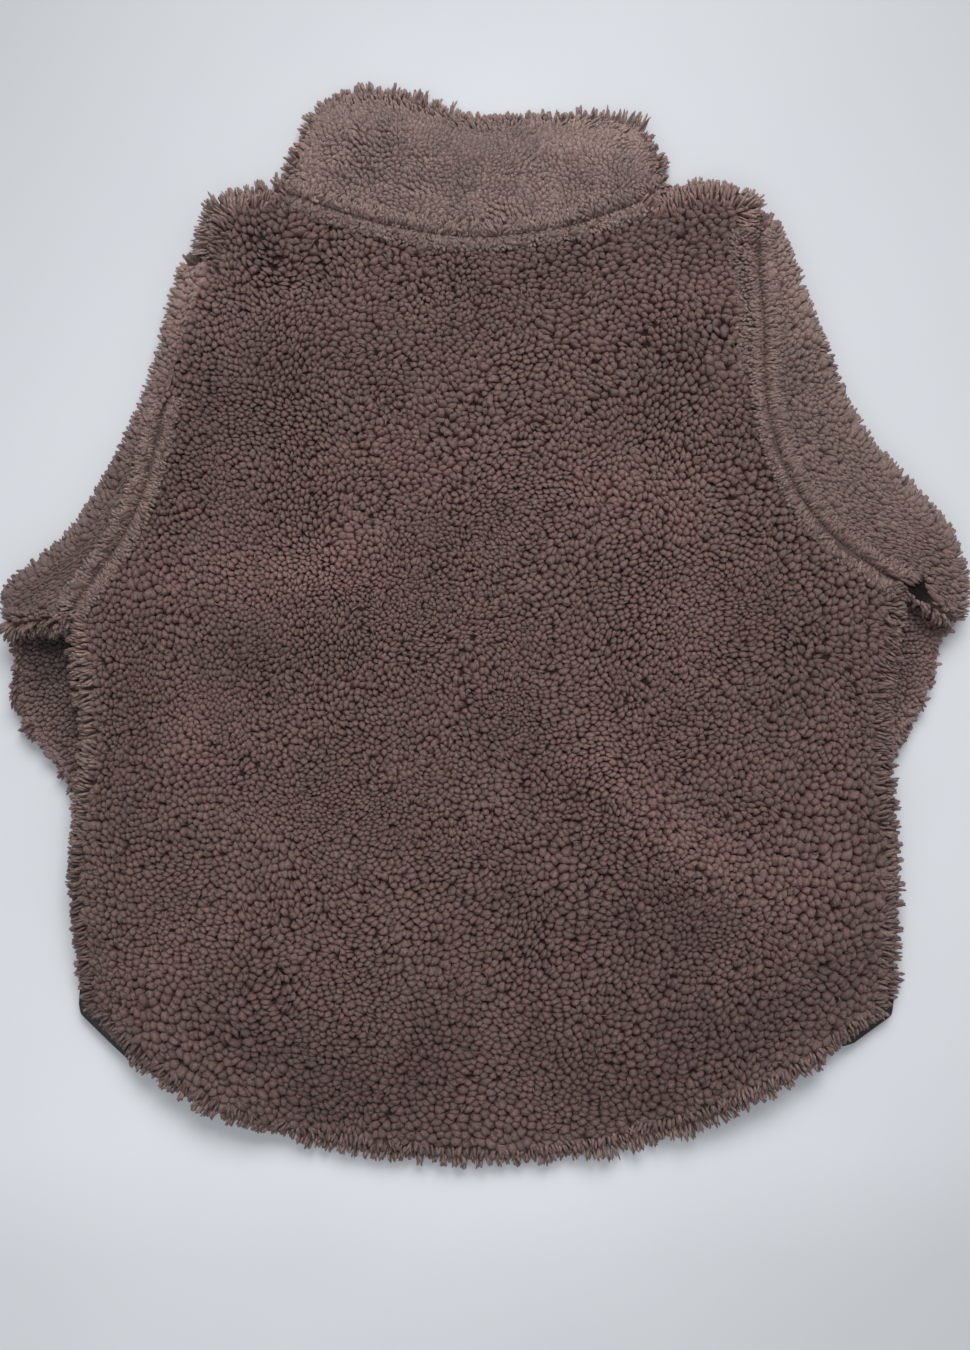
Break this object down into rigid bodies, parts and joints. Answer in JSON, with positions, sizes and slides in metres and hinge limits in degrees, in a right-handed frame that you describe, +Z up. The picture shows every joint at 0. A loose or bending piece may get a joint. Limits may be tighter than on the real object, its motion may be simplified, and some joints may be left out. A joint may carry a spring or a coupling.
{
  "type": "sherpa jacket",
  "caption": "High-pile fleece jacket lying flat, face down, with a stand collar, a curved shirt-tail hem and both sleeves folded underneath.",
  "frame": {"origin": "middle of the footprint on the surface that the jacket lies on", "axes": "+Z up out of the jacket's back, +Y from hem to collar, -X towards the wearer's left"},
  "size_m": [0.6518, 0.731, 0.0289],
  "materials": {
    "pile_body": "matte high-pile fleece, taupe brown",
    "pile_sleeve": "matte high-pile fleece, taupe brown, a little lighter",
    "pile_collar": "matte high-pile fleece, brushed longer and lighter",
    "zip": "woven tape with moulded coil teeth, dark brown",
    "binding": "smooth finely ribbed tape, near black brown"
  },
  "bodies": {
    "root": {"back": "pile_body", "front_left": "pile_body", "front_right": "pile_body", "sleeve_left": "pile_sleeve", "sleeve_right": "pile_sleeve", "collar": "pile_collar", "front_zip": "zip", "hem_binding_left": "binding", "hem_binding_right": "binding"}
  },
  "joints": []
}
